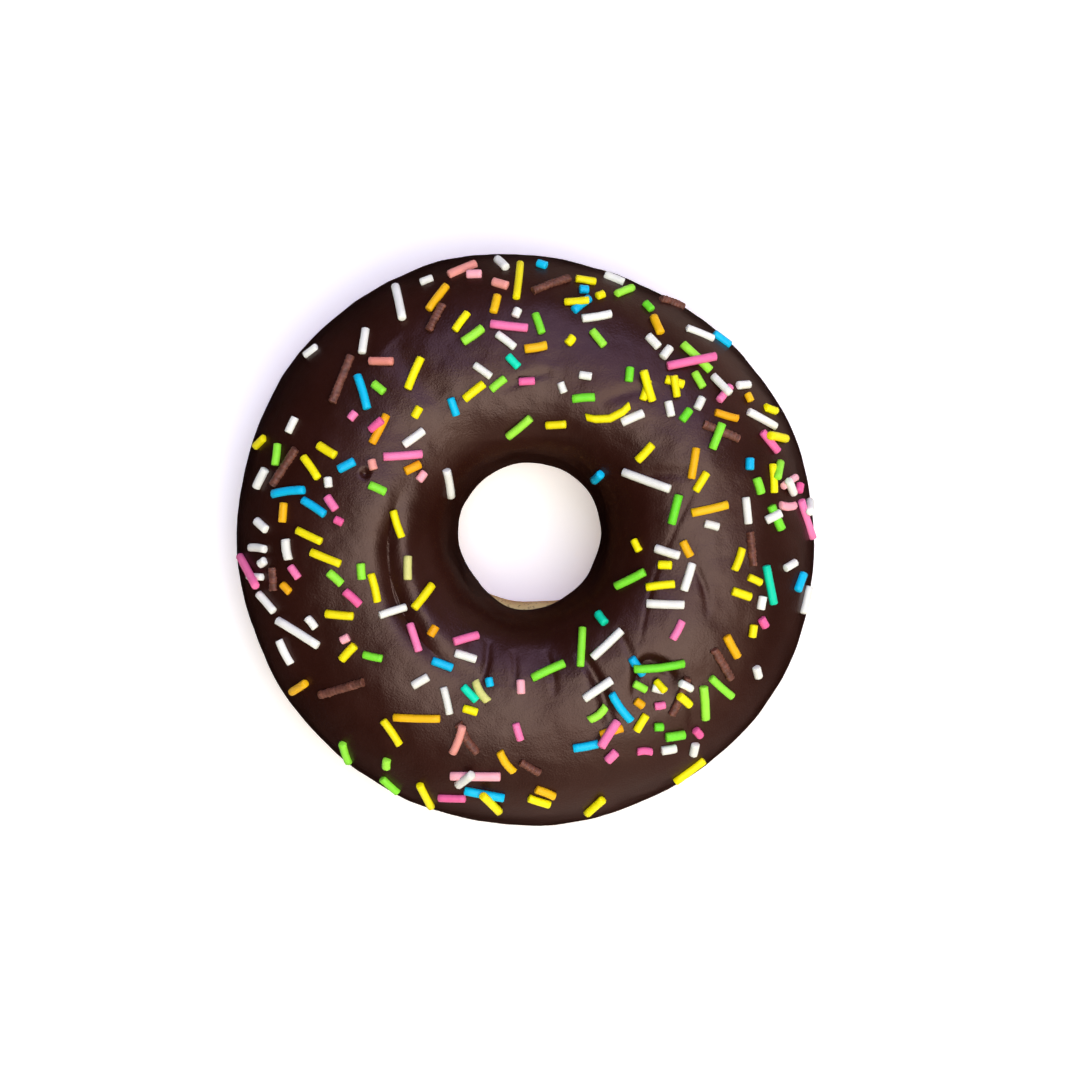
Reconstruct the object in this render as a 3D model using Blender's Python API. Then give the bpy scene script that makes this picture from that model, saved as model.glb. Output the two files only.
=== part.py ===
"""Ring doughnut: a fried dough ring under dark chocolate icing strewn with sugar sprinkles.

Metres, +Z up. The ring lies flat on the plane z = 0, and the origin is the middle of its footprint.
A place on the ring is an angle round the hole (turn, 0 at +X) and an angle over the ring's section
(over, 0 at the outer side, 90 degrees on the crest, 180 at the hole).
"""

import math
import random
from typing import NamedTuple

import bmesh
import bpy
import numpy as np
from mathutils import Matrix, Vector

MM = 0.001

# Driving dimensions of the whole ring, over the icing
OUTER_RADIUS = 47.0 * MM
HOLE_RADIUS = 11.75 * MM
EQUATOR_HEIGHT = 13.0 * MM
CREST_RISE = 16.2 * MM
BASE_DROP = 14.2 * MM
FULLNESS = 0.10
CREST_LEAN = 0.18

# Flatter places in the outline, as where rings touched in the fryer: turn, spread, depth
FLATS = (
    (math.radians(62), math.radians(33), 3.2 * MM),
    (math.radians(1), math.radians(13), 1.0 * MM),
)

# The dough swells into the hole on one side, below the icing
SWELL_TURN = math.radians(265)
SWELL_OVER = math.radians(206)
SWELL_TURN_SPREAD = math.radians(36)
SWELL_OVER_SPREAD = math.radians(17)
SWELL_DEPTH = 3.0 * MM

# Slow waves in the dough: times round, times over, height, phase
LUMP_WAVES = (
    (2, 1, 0.30 * MM, 0.6),
    (3, -2, 0.26 * MM, 2.1),
    (5, 1, 0.20 * MM, 4.0),
    (7, 3, 0.13 * MM, 1.3),
    (11, -2, 0.09 * MM, 5.2),
)
HOLE_CALM = 0.75
HOLE_CALM_SPREAD = math.radians(40)
RIM_CALM = 0.8
RIM_CALM_SPREAD = math.radians(42)

# A fold in the dough along the inner shoulder, left of the hole
FOLD_TURN = math.radians(202)
FOLD_OVER = math.radians(101)
FOLD_SLANT = -0.14
FOLD_HALF_LENGTH = math.radians(36)
FOLD_HALF_WIDTH = math.radians(4.6)
FOLD_DEPTH = 0.8 * MM
FOLD_RIDGE_SHARE = 0.45
FOLD_RIDGE_PLACE = 2.2

# A burst blister in the icing
BLISTER_TURN = math.radians(311)
BLISTER_OVER = math.radians(78.5)
BLISTER_RADIUS = 3.0 * MM
BLISTER_DEPTH = 0.75 * MM
BLISTER_EVEN_POWER = 2
BLISTER_STEEP_POWER = 3.0

# The icing, its clearance to the dough and its two wavy edges
ICING_THICKNESS = 1.15 * MM
ICING_GAP = 0.3 * MM
LIP_SWELL = 0.35 * MM
LIP_PLACE = 0.045
OUTER_EDGE = math.radians(-20)
INNER_EDGE = math.radians(189)
BARE_SIDE_LIFT = math.radians(25)
OUTER_EDGE_WAVES = ((3, math.radians(4.0), 1.0), (8, math.radians(2.6), 0.3), (13, math.radians(1.6), 2.2))
INNER_EDGE_WAVES = ((2, math.radians(3.0), 0.5), (5, math.radians(2.5), 2.4))

# Sugar sprinkles and chocolate sticks
SPRINKLE_RADIUS = 0.69 * MM
SPRINKLE_LENGTH = 3.4 * MM
SPRINKLE_LENGTH_SPREAD = 0.42
SPRINKLE_SHORTEST = 1.5 * MM
SPRINKLE_LONGEST = 8.2 * MM
STICK_RADIUS = 0.66 * MM
STICK_LENGTH = 5.8 * MM
STICK_LENGTH_SPREAD = 0.30
SINK = 0.36 * MM
MOST_BULGE = 0.75 * MM
CROSSING_OVERLAP = 0.42 * MM
CROSSING_SHARE = 0.6
LEAST_CROSSING_SINE = 0.5
LEAST_CROSSING_SLENDERNESS = 3
LEAST_BITE, MOST_BITE = 0.8, 1.5
CLEARANCE = 1.04
EDGE_MARGIN = math.radians(5)
HOLE_SPARSE_RADIUS = 13.0 * MM
HOLE_SPARSE_REACH = 7.0 * MM
RIM_SPARSE_RADIUS = 51.0 * MM
RIM_SPARSE_REACH = 7.0 * MM
ROD_SIDES = 5
SEED = 7
TRIES = 120
HALVINGS = 24
SMALL_ANGLE = 1e-3


class Strewn(NamedTuple):
    """How many rods fall where: round this turn and plan radius, within this spread, or all over."""

    turn: float
    radius: float
    spread: float
    count: int


STICKS = 13
STICK_BAND = (34.0 * MM, 43.0 * MM)
STICK_JITTER = 0.4
STICK_SPREAD = 1.0 * MM
CLUMPS = (
    Strewn(math.radians(97), 35.0 * MM, 5.5 * MM, 14),
    Strewn(math.radians(74), 38.0 * MM, 3.6 * MM, 8),
    Strewn(math.radians(50), 35.5 * MM, 4.6 * MM, 8),
    Strewn(math.radians(34), 35.5 * MM, 4.2 * MM, 10),
    Strewn(math.radians(45), 27.0 * MM, 4.5 * MM, 6),
    Strewn(math.radians(9), 39.0 * MM, 4.8 * MM, 14),
    Strewn(math.radians(-14), 39.0 * MM, 4.2 * MM, 7),
    Strewn(math.radians(-54), 33.0 * MM, 5.2 * MM, 24),
    Strewn(math.radians(-17), 20.5 * MM, 3.4 * MM, 8),
    Strewn(math.radians(172), 35.5 * MM, 5.5 * MM, 14),
    Strewn(math.radians(190), 40.5 * MM, 3.5 * MM, 5),
    Strewn(math.radians(208), 34.5 * MM, 4.0 * MM, 7),
    Strewn(math.radians(259), 39.0 * MM, 3.6 * MM, 6),
    Strewn(math.radians(245), 28.5 * MM, 4.5 * MM, 10),
    Strewn(math.radians(150), 25.5 * MM, 4.8 * MM, 10),
)
EVENLY_SPREAD = 74

# Facets
COLUMNS = 60
DOUGH_ROWS_OUTSIDE = 3
DOUGH_ROWS_IN_HOLE = 4
ICING_ROWS = (0.0, 0.03, 0.09, 0.17, 0.26, 0.35, 0.44, 0.53, 0.59, 0.635, 0.68, 0.74, 0.82, 0.91, 0.97, 1.0)
COVERED_ROWS = (0.015, 0.13, 0.25, 0.35, 0.45, 0.55, 0.63, 0.7, 0.8, 0.9, 0.985)

DOUGH_COLOUR, DOUGH_ROUGHNESS = (0.52, 0.30, 0.11), 0.7
ICING_COLOUR, ICING_ROUGHNESS = (0.045, 0.015, 0.010), 0.35


def bump(angle, middle, spread):
    """A bell of height 1 at the middle angle, which closes round the full turn."""
    apart = (angle - middle + math.pi) % (2 * math.pi) - math.pi
    return np.exp(-0.5 * (apart / spread) ** 2)


def wave_sum(angle, waves):
    """The sum of sine waves round the ring, each (times round, height, phase)."""
    return sum(height * np.sin(times * angle + phase) for times, height, phase in waves)


def outline(turn):
    """Plan radius of the iced ring's outer side."""
    return OUTER_RADIUS - sum(depth * bump(turn, middle, spread) for middle, spread, depth in FLATS)


def footprint_middle():
    """Where the middle of the outline's bounds lies, seen from the hole's axis."""
    turn = np.linspace(0, 2 * math.pi, 720, endpoint=False)
    x, y = outline(turn) * np.cos(turn), outline(turn) * np.sin(turn)
    return (x.max() + x.min()) / 2, (y.max() + y.min()) / 2


MIDDLE_X, MIDDLE_Y = footprint_middle()


def ring_section(turn):
    """(middle radius, half width) of the dough's section, inside the icing."""
    cover = ICING_THICKNESS + ICING_GAP
    outer, hole = outline(turn) - cover, HOLE_RADIUS + cover
    return (outer + hole) / 2, (outer - hole) / 2


def across_section(over):
    """How far across the section a skin angle lies, from 1 outside to -1 at the hole. The crest leans inwards."""
    leaning = over + CREST_LEAN * np.maximum(np.sin(over), 0)
    return np.cos(leaning) * (1 + FULLNESS * np.sin(leaning) ** 2)


def dough_skin(turn, over):
    """Points on the dough, with its lumps, its fold, its swell into the hole and its flat underside."""
    middle, half = ring_section(turn)
    up = np.sin(over) * (1 + FULLNESS * np.cos(over) ** 2)
    radius = middle + half * across_section(over)
    rise = CREST_RISE - ICING_THICKNESS - ICING_GAP
    height = EQUATOR_HEIGHT + np.where(up > 0, rise, BASE_DROP) * up
    lump = sum(h * np.sin(a * turn + b * over + p) for a, b, h, p in LUMP_WAVES)
    lump = lump * (1 - HOLE_CALM * bump(over, math.pi, HOLE_CALM_SPREAD))
    lump = lump * (1 - RIM_CALM * bump(over, 0, RIM_CALM_SPREAD)) - fold_depth(turn, over)
    swell = SWELL_DEPTH * bump(turn, SWELL_TURN, SWELL_TURN_SPREAD) * bump(over, SWELL_OVER, SWELL_OVER_SPREAD)
    radius = radius + lump * np.cos(over) - swell
    height = np.maximum(height + lump * np.maximum(np.sin(over), 0), 0)
    return np.stack([radius * np.cos(turn) - MIDDLE_X, radius * np.sin(turn) - MIDDLE_Y, height], -1)


def fold_depth(turn, over):
    """How deep the fold on the inner shoulder goes, with a low ridge on its hole side."""
    along = (turn - FOLD_TURN + math.pi) % (2 * math.pi) - math.pi
    aside = (over - FOLD_OVER - FOLD_SLANT * along) / FOLD_HALF_WIDTH
    ends = np.exp(-((along / FOLD_HALF_LENGTH) ** 4))
    ridge = FOLD_RIDGE_SHARE * np.exp(-((aside - FOLD_RIDGE_PLACE) ** 2) / 2)
    return FOLD_DEPTH * ends * (np.exp(-(aside**2)) - ridge)


def outward(turn, over):
    """Unit normals of the dough's skin, by small steps along both angles."""
    step = SMALL_ANGLE
    round_ring = dough_skin(turn + step, over) - dough_skin(turn - step, over)
    over_ring = dough_skin(turn, over + step) - dough_skin(turn, over - step)
    normal = np.cross(round_ring, over_ring)
    return normal / np.linalg.norm(normal, axis=-1, keepdims=True)


def blister_depth(turn, over):
    """The burst blister: a shallow pan with a steep rim on the side away from the ring's bottom edge."""
    middle, half = ring_section(turn)
    apart = (turn - BLISTER_TURN + math.pi) % (2 * math.pi) - math.pi
    x, y = apart * middle, (over - BLISTER_OVER) * half
    distance = np.hypot(x, y) + MM * MM
    steep = BLISTER_STEEP_POWER * (1 + (x + y) / distance)
    return BLISTER_DEPTH * np.exp(-((distance / BLISTER_RADIUS) ** (BLISTER_EVEN_POWER + np.maximum(steep, 0))))


def edge_angles(turn):
    """(outer, inner) section angles where the icing ends. It ends higher over the dough's swell."""
    outer = OUTER_EDGE + wave_sum(turn, OUTER_EDGE_WAVES)
    inner = INNER_EDGE + wave_sum(turn, INNER_EDGE_WAVES)
    return outer, inner - BARE_SIDE_LIFT * bump(turn, SWELL_TURN, SWELL_TURN_SPREAD)


def icing_top(turn, over):
    """Points on the icing's upper side, away from its lips."""
    cover = ICING_GAP + ICING_THICKNESS - blister_depth(turn, over)
    return dough_skin(turn, over) + outward(turn, over) * cover[..., None]


def icing_lip(share):
    """The icing's thickness at a share of the way from its outer to its inner edge, as a rounded lip at each."""
    from_edge = np.minimum(share, 1 - share) / LIP_PLACE
    rounded = np.sqrt(np.clip(1 - (1 - np.minimum(from_edge, 1)) ** 2, 0, 1))
    return rounded * (ICING_THICKNESS + LIP_SWELL * np.exp(-((from_edge - 1) ** 2)))


def ring_object(name, points, material):
    """A closed ring from points[column, row], joined round the hole and round the section."""
    columns, rows = points.shape[:2]
    mesh = bpy.data.meshes.new(name)
    index = np.arange(columns * rows).reshape(columns, rows)
    ahead = np.roll(index, -1, axis=0)
    beside, across = np.roll(index, -1, axis=1), np.roll(ahead, -1, axis=1)
    faces = np.stack([index, ahead, across, index, across, beside], -1)
    mesh.from_pydata(points.reshape(-1, 3).tolist(), [], faces.reshape(-1, 3).tolist())
    recalculate(mesh)
    return finished_object(name, mesh, material)


def recalculate(mesh):
    """Turns every face of a closed mesh outwards."""
    shape = bmesh.new()
    shape.from_mesh(mesh)
    bmesh.ops.recalc_face_normals(shape, faces=shape.faces)
    shape.to_mesh(mesh)
    shape.free()


def finished_object(name, mesh, material):
    """An object at the origin that shows this mesh in this material."""
    mesh.materials.append(material)
    mesh.shade_smooth()
    made = bpy.data.objects.new(name, mesh)
    bpy.context.scene.collection.objects.link(made)
    return made


def base_angle():
    """The section angle below the equator at which the dough meets the plane it lies on."""
    low, high = 0.0, math.pi / 2
    for _ in range(HALVINGS):
        tried = (low + high) / 2
        drop = BASE_DROP * math.sin(tried) * (1 + FULLNESS * math.cos(tried) ** 2)
        low, high = (tried, high) if drop < EQUATOR_HEIGHT else (low, tried)
    return high


def covered_grid(shares):
    """(turn, over, share) at each column and at these shares of the way over the iced part of the section."""
    turn = np.linspace(0, 2 * math.pi, COLUMNS, endpoint=False)
    turn, share = np.meshgrid(turn, np.array(shares), indexing="ij")
    outer, inner = edge_angles(turn)
    return turn, outer + share * (inner - outer), share


def make_dough(material):
    """The dough ring: up its outer side, over the top with the icing's own rows, down the hole, flat below."""
    turn, over, _ = covered_grid(COVERED_ROWS)
    base = base_angle()
    outside = [-base + (over[:, :1] + base) * step / DOUGH_ROWS_OUTSIDE for step in range(DOUGH_ROWS_OUTSIDE)]
    in_hole = [
        over[:, -1:] + (math.pi + base - over[:, -1:]) * (step + 1) / DOUGH_ROWS_IN_HOLE
        for step in range(DOUGH_ROWS_IN_HOLE)
    ]
    over = np.concatenate([*outside, over, *in_hole], 1)
    turn = np.broadcast_to(turn[:, :1], over.shape)
    return ring_object("dough", dough_skin(turn, over), material)


def make_icing(material):
    """The icing as a shell over the dough: its upper side, then its under side back to the same edge."""
    turn, over, share = covered_grid(ICING_ROWS)
    cover = ICING_GAP + icing_lip(share) - blister_depth(turn, over)
    upper = dough_skin(turn, over) + outward(turn, over) * cover[..., None]
    turn, over, _ = covered_grid(COVERED_ROWS[::-1])
    under = dough_skin(turn, over) + outward(turn, over) * ICING_GAP
    return ring_object("icing", np.concatenate([upper, under], 1), material)


class Rod(NamedTuple):
    """A straight sprinkle or stick: its middle, its direction, the way it faces up, and its size."""

    middle: np.ndarray
    along: np.ndarray
    up: np.ndarray
    length: float
    radius: float


def section_angle(turn, plan_radius):
    """The section angle on the top side where the icing lies at this plan radius."""
    middle, half = ring_section(turn)
    wanted = (plan_radius - middle) / (half + ICING_GAP + ICING_THICKNESS)
    low, high = 0.0, math.pi
    for _ in range(HALVINGS):
        tried = (low + high) / 2
        low, high = (tried, high) if across_section(tried) > wanted else (low, tried)
    return high


def seated_rod(turn, over, heading, length, radius):
    """A rod pressed a little into the icing, or None past the icing's edge and where the skin curves too much."""
    step = SMALL_ANGLE
    turns, overs = np.array([turn, turn + step, turn]), np.array([over, over, over + step])
    here, round_ring, over_ring = icing_top(turns, overs)
    round_step = np.linalg.norm(round_ring - here) / step
    over_step = np.linalg.norm(over_ring - here) / step
    d_turn = length / 2 * math.cos(heading) / round_step
    d_over = length / 2 * math.sin(heading) / over_step
    ends_turn = np.array([turn - d_turn, turn + d_turn])
    ends_over = np.array([over - d_over, over + d_over])
    outer, inner = edge_angles(ends_turn)
    if (ends_over < outer + EDGE_MARGIN).any() or (ends_over > inner - EDGE_MARGIN).any():
        return None
    first, last = icing_top(ends_turn, ends_over)
    up = outward(turns[:1], overs[:1])[0]
    chord_middle = (first + last) / 2
    bulge = max(float((here - chord_middle) @ up), 0)
    if bulge > MOST_BULGE:
        return None
    along = (last - first) / np.linalg.norm(last - first)
    up = up - along * (up @ along)
    up = up / np.linalg.norm(up)
    return Rod(chord_middle + up * (bulge / 2 + radius - SINK), along, up, length, radius)


def nearest_places(rod, other):
    """The places along the two rods' axes, from their middles, that come nearest to each other."""
    between = rod.middle - other.middle
    lean = float(rod.along @ other.along)
    spread = max(1 - lean * lean, 1e-9)
    here, there = float(rod.along @ between), float(other.along @ between)
    place = np.clip((lean * there - here) / spread, -rod.length / 2, rod.length / 2)
    other_place = np.clip(there + lean * place, -other.length / 2, other.length / 2)
    place = np.clip(lean * other_place - here, -rod.length / 2, rod.length / 2)
    return float(place), float(other_place)


def gap_to(rod, other):
    """The distance between the two rods' axes."""
    place, other_place = nearest_places(rod, other)
    return np.linalg.norm(rod.middle + place * rod.along - other.middle - other_place * other.along)


def laid_across(rod, other):
    """The rod tipped up to lie on the other one, while its far end still meets the icing."""
    place, other_place = nearest_places(rod, other)
    above = (rod.middle + place * rod.along - other.middle - other_place * other.along) @ rod.up
    lift = rod.radius + other.radius - CROSSING_OVERLAP - above
    share = abs(place) / (rod.length / 2)
    rise = 2 * lift / (1 + share)
    side = 1 if place >= 0 else -1
    along = rod.along * rod.length + rod.up * rise * side
    along = along / np.linalg.norm(along)
    up = rod.up - along * (rod.up @ along)
    return Rod(rod.middle + rod.up * rise / 2, along, up / np.linalg.norm(up), rod.length, rod.radius)


def rests_on(rod, other):
    """Whether a tipped rod crosses the other at a wide angle, away from both rods' tips, and bites into it."""
    place, other_place = nearest_places(rod, other)
    if abs(place) > rod.length / 2 - rod.radius or abs(other_place) > other.length / 2 - rod.radius:
        return False
    bite = rod.radius + other.radius - gap_to(rod, other)
    sine = np.linalg.norm(np.cross(rod.along, other.along))
    return sine > LEAST_CROSSING_SINE and LEAST_BITE < bite / CROSSING_OVERLAP < MOST_BITE


def touched(rod, placed):
    """The placed rods that this one would run into."""
    near = [p for p in placed if np.linalg.norm(p.middle - rod.middle) < (p.length + rod.length) / 2 + rod.radius]
    return [p for p in near if gap_to(rod, p) < CLEARANCE * (p.radius + rod.radius)]


def drawn_length(chance, typical, spread):
    """A rod's length: most near the typical one, a few short stubs and long ones."""
    length = typical * math.exp(chance.gauss(0, spread))
    return min(max(length, SPRINKLE_SHORTEST), SPRINKLE_LONGEST)


def drawn_place(chance, strewn):
    """(turn, plan radius) in a clump or anywhere, but seldom on the steep sides, where rods slide off."""
    while True:
        if strewn is None:
            turn = chance.uniform(-math.pi, math.pi)
            radius = OUTER_RADIUS * math.sqrt(chance.random())
        else:
            spread = strewn.spread / math.sqrt(2)
            x = strewn.radius * math.cos(strewn.turn) + chance.gauss(0, spread)
            y = strewn.radius * math.sin(strewn.turn) + chance.gauss(0, spread)
            turn, radius = math.atan2(y, x), math.hypot(x, y)
        stays_by_hole = (radius - HOLE_SPARSE_RADIUS) / HOLE_SPARSE_REACH
        stays_by_rim = (RIM_SPARSE_RADIUS - radius) / RIM_SPARSE_REACH
        if chance.random() < min(stays_by_hole, stays_by_rim):
            return turn, radius


def drop_rod(chance, placed, strewn, size):
    """Tries places until a rod lies free, or now and then across one other rod, and adds it."""
    radius, typical, spread = size
    length = drawn_length(chance, typical, spread)
    crossing = chance.random() < CROSSING_SHARE
    for _ in range(TRIES):
        turn, plan_radius = drawn_place(chance, strewn)
        heading = chance.uniform(0, math.pi)
        if plan_radius > outline(turn) - radius:
            continue
        rod = seated_rod(turn, section_angle(turn, plan_radius), heading, length, radius)
        if rod is None:
            continue
        under = touched(rod, placed)
        if len(under) == 1 and crossing and length > LEAST_CROSSING_SLENDERNESS * radius:
            lifted = laid_across(rod, under[0])
            if rests_on(lifted, under[0]) and all(p is under[0] for p in touched(lifted, placed)):
                placed.append(lifted)
                return
        elif not under:
            placed.append(rod)
            return


def strewn_rods():
    """All rods, the chocolate sticks first, then the clumps, then the evenly spread ones."""
    chance = random.Random(SEED)
    placed = []
    stick = (STICK_RADIUS, STICK_LENGTH, STICK_LENGTH_SPREAD)
    sprinkle = (SPRINKLE_RADIUS, SPRINKLE_LENGTH, SPRINKLE_LENGTH_SPREAD)
    for number in range(STICKS):
        turn = 2 * math.pi * (number + chance.uniform(-STICK_JITTER, STICK_JITTER)) / STICKS
        spot = Strewn(turn, chance.uniform(*STICK_BAND), STICK_SPREAD, 1)
        drop_rod(chance, placed, spot, stick)
    for clump in CLUMPS:
        for _ in range(clump.count):
            drop_rod(chance, placed, clump, sprinkle)
    for _ in range(EVENLY_SPREAD):
        drop_rod(chance, placed, None, sprinkle)
    return placed


def rod_object(rod, number, collection):
    """One rod as a five-sided prism with an edge pressed into the icing."""
    shape = bmesh.new()
    bmesh.ops.create_cone(
        shape,
        cap_ends=True,
        segments=ROD_SIDES,
        radius1=rod.radius,
        radius2=rod.radius,
        depth=rod.length,
    )
    aside = np.cross(rod.up, rod.along)
    axes = Matrix([Vector(-aside), Vector(-rod.up), Vector(rod.along)]).transposed()
    bmesh.ops.transform(shape, matrix=Matrix.Translation(Vector(rod.middle)) @ axes.to_4x4(), verts=shape.verts)
    bmesh.ops.recalc_face_normals(shape, faces=shape.faces)
    mesh = bpy.data.meshes.new(f"rod_{number}")
    shape.to_mesh(mesh)
    shape.free()
    collection.objects.link(bpy.data.objects.new(mesh.name, mesh))


def fuse_rods(icing, rods):
    """Joins the rods to the icing as one solid and removes the rods' own objects."""
    collection = bpy.data.collections.new("rods")
    bpy.context.scene.collection.children.link(collection)
    for number, rod in enumerate(rods):
        rod_object(rod, number, collection)
    union = icing.modifiers.new("fuse", "BOOLEAN")
    union.operation = "UNION"
    union.operand_type = "COLLECTION"
    union.collection = collection
    union.solver = "EXACT"
    bpy.context.view_layer.objects.active = icing
    bpy.ops.object.modifier_apply(modifier=union.name)
    for rod in list(collection.objects):
        bpy.data.objects.remove(rod)
    bpy.data.collections.remove(collection)


def plain_material(name, colour, roughness):
    """A non-metal finish of one colour."""
    material = bpy.data.materials.new(name)
    material.use_nodes = True
    shader = material.node_tree.nodes["Principled BSDF"]
    shader.inputs["Base Color"].default_value = (*colour, 1)
    shader.inputs["Roughness"].default_value = roughness
    shader.inputs["Metallic"].default_value = 0
    return material


def main():
    for old in list(bpy.data.objects):
        bpy.data.objects.remove(old)
    make_dough(plain_material("fried dough", DOUGH_COLOUR, DOUGH_ROUGHNESS))
    icing = make_icing(plain_material("dark chocolate icing", ICING_COLOUR, ICING_ROUGHNESS))
    fuse_rods(icing, strewn_rods())


main()
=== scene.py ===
"""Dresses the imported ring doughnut: fried dough, dark chocolate icing and strewn sugar sprinkles.

Metres, +Z up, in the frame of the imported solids. A place on the ring is a turn round the hole, 0 at +X,
and an angle over the ring's section, 0 at the outer side, 90 degrees on the crest and 180 at the hole.
The sprinkles fall by the same rule and seed as the solids' rods, so each one lies where its rod lies.
"""

from __future__ import annotations

import logging
import math
import random
from dataclasses import dataclass, field
from enum import Enum
from functools import cached_property
from typing import Any, Callable, NamedTuple, Sequence

import bpy
import numpy as np
from mathutils import Matrix, Vector

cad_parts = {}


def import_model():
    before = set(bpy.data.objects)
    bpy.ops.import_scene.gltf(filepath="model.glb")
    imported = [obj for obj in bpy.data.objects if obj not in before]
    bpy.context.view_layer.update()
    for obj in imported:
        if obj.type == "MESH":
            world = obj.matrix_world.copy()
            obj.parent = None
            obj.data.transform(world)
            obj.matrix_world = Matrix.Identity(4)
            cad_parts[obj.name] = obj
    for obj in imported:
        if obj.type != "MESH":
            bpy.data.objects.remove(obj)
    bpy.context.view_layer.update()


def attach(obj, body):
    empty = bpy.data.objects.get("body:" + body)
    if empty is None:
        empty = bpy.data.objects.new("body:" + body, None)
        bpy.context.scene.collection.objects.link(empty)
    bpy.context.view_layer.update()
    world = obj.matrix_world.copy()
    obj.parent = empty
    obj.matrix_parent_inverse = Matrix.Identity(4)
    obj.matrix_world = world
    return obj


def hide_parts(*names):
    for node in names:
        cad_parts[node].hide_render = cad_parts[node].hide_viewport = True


MM = 0.001
BODY = "root"
LOG = logging.getLogger("doughnut")

# How bluntly a crease runs out: 1 is a parabola along its length, and less is blunter
CREASE_TAPER = 0.6

# How often a search halves its stretch, and a step in angle to measure slopes with
HALVINGS = 24
SMALL_ANGLE = 1e-3

# The colour sockets of a Mix node, which have the same names as its sockets for numbers
MIX_FROM, MIX_TO, MIX_RESULT = 6, 7, 2

Colour = tuple[float, float, float, float]


def hex_colour(code: str) -> Colour:
    """Turns an sRGB hex colour into linear values.

    Args:
        code: Six hex digits, as "4A2015".

    Returns:
        Linear red, green and blue, with an alpha of 1.
    """
    shares = [int(code[i : i + 2], 16) / 255 for i in (0, 2, 4)]
    red, green, blue = (c / 12.92 if c <= 0.04045 else ((c + 0.055) / 1.055) ** 2.4 for c in shares)
    return red, green, blue, 1.0


def wire(tree: bpy.types.NodeTree, node: bpy.types.Node, inputs: dict[Any, Any]) -> None:
    """Links or sets some inputs of a node.

    Args:
        tree: The tree of a material or of geometry nodes.
        node: The node.
        inputs: Its inputs by name or number. A socket is linked, a node is linked by its first output,
            and any other value is set.
    """
    for name, value in inputs.items():
        source = value.outputs[0] if isinstance(value, bpy.types.Node) else value
        if isinstance(source, bpy.types.NodeSocket):
            tree.links.new(source, node.inputs[name])
        else:
            node.inputs[name].default_value = source


def add_node(tree: bpy.types.NodeTree, kind: str, settings: dict[str, Any], inputs: dict[Any, Any]) -> Any:
    """Adds one node to a tree.

    Args:
        tree: The tree of a material or of geometry nodes.
        kind: The node's type name.
        settings: The node's own properties, by name.
        inputs: Its inputs, as for wire.

    Returns:
        The new node.
    """
    node = tree.nodes.new(kind)
    for name, value in settings.items():
        setattr(node, name, value)
    wire(tree, node, inputs)
    return node


def new_material(name: str) -> tuple[bpy.types.Material, bpy.types.NodeTree, Any, Any]:
    """Starts a material made of nodes.

    Args:
        name: What the real material is.

    Returns:
        The material, its tree, its shader and its Object coordinates.
    """
    material = bpy.data.materials.new(name)
    material.use_nodes = True
    tree = material.node_tree
    place = add_node(tree, "ShaderNodeTexCoord", {}, {}).outputs["Object"]
    return material, tree, tree.nodes["Principled BSDF"], place


def new_shape_tree(name: str, start: str, whole: Sequence[str], sizes: Sequence[str]) -> tuple[Any, Any]:
    """Starts a geometry tree with named inputs and one output.

    Args:
        name: The tree's name.
        start: The name of the mesh that it starts from.
        whole: The names of its whole numbers.
        sizes: The names of its sizes and shares.

    Returns:
        The tree and its inputs, which end with the finish.
    """
    tree = bpy.data.node_groups.new(name, "GeometryNodeTree")
    kinds = {start: "Geometry"} | dict.fromkeys(whole, "Int") | dict.fromkeys(sizes, "Float")
    for label, kind in (kinds | {"Finish": "Material"}).items():
        tree.interface.new_socket(label, in_out="INPUT", socket_type=f"NodeSocket{kind}")
    tree.interface.new_socket("Shape", in_out="OUTPUT", socket_type="NodeSocketGeometry")
    return tree, add_node(tree, "NodeGroupInput", {}, {}).outputs


def end_shape_tree(tree: bpy.types.NodeTree, shape: Any, finish: Any) -> bpy.types.NodeTree:
    """Dresses a tree's last shape in the finish, makes that its output and returns the tree."""
    dressed = add_node(tree, "GeometryNodeSetMaterial", {}, {"Geometry": shape, "Material": finish})
    add_node(tree, "NodeGroupOutput", {}, {0: dressed})
    return tree


def angle_apart(angle: np.ndarray, middle: float) -> np.ndarray:
    """Gives how far angles lie from a middle one, the shorter way round."""
    return (angle - middle + math.pi) % (2 * math.pi) - math.pi


def narrowed(high: float, is_low: Callable[[float], bool]) -> float:
    """Finds where a test on the values from 0 up to a high one turns false, by halving."""
    low = 0.0
    for _ in range(HALVINGS):
        tried = (low + high) / 2
        low, high = (tried, high) if is_low(tried) else (low, tried)
    return high


def bell(angle: np.ndarray, middle: float, spread: float) -> np.ndarray:
    """Gives a bump of height 1 at the middle angle, which closes round the full turn."""
    return np.exp(-0.5 * (angle_apart(angle, middle) / spread) ** 2)


class Wave(NamedTuple):
    """A slow wave in a surface: its times round the ring and over the section, its height and its phase."""

    around: int
    over: int
    height: float
    phase: float

    def at(self, turn: np.ndarray, over: np.ndarray) -> np.ndarray:
        """Gives the wave's height at these places."""
        return self.height * np.sin(self.around * turn + self.over * over + self.phase)


class Flat(NamedTuple):
    """A flatter place in the ring's outline: its turn, its spread and its depth."""

    turn: float
    spread: float
    depth: float


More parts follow.
